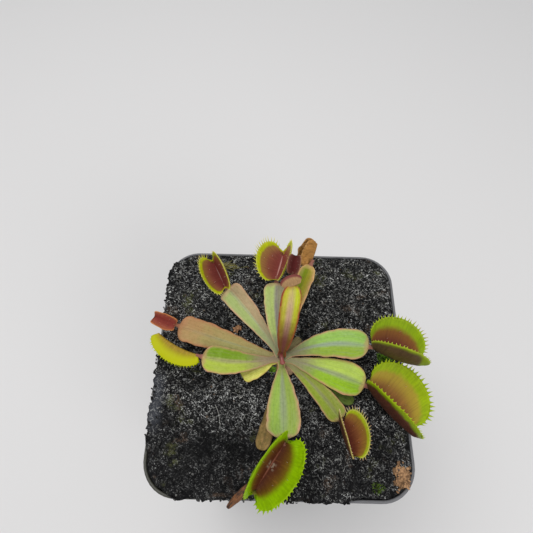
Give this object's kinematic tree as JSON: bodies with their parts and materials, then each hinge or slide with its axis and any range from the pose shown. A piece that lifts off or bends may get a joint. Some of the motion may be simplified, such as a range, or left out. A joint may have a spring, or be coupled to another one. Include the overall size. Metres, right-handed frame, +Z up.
{
  "type": "potted venus flytrap",
  "caption": "Carnivorous house plant with a rosette of flat leaves ending in toothed hinged traps, growing in peat in a deep square nursery pot",
  "frame": {"origin": "middle of the pot's flat underside", "axes": "+Z up out of the pot, +X to the right and +Y away from the near side of the pot"},
  "size_m": [0.1019, 0.0938, 0.1519],
  "materials": {
    "pot": "satin moulded plastic",
    "peat": "damp fibrous peat",
    "rhizome": "pale fleshy stem with dark roots",
    "leaf": "smooth satin leaf, green with red-brown traps",
    "new_leaf": "smooth dark red new growth",
    "old_leaf": "dry ragged leaf",
    "moss": "fine matt moss",
    "bark": "rough brown bark"
  },
  "bodies": {
    "root": {"pot": "pot", "soil": "peat", "rhizome": "rhizome", "leaf_back_left": "leaf", "leaf_back": "leaf", "leaf_young": "leaf", "leaf_small_trap": "leaf", "leaf_dry_trap": "leaf", "leaf_right": "leaf", "leaf_right_large": "leaf", "leaf_front_right": "leaf", "leaf_front": "leaf", "leaf_left": "leaf", "leaf_left_tan": "leaf", "new_leaf": "new_leaf", "old_leaf_1": "old_leaf", "old_leaf_2": "old_leaf", "old_leaf_3": "old_leaf", "dry_scrap": "old_leaf", "leaf_stub_1": "old_leaf", "leaf_stub_2": "old_leaf", "moss_1": "moss", "moss_2": "moss", "moss_3": "moss", "bark_chip_1": "bark", "bark_chip_2": "bark"}
  },
  "joints": []
}
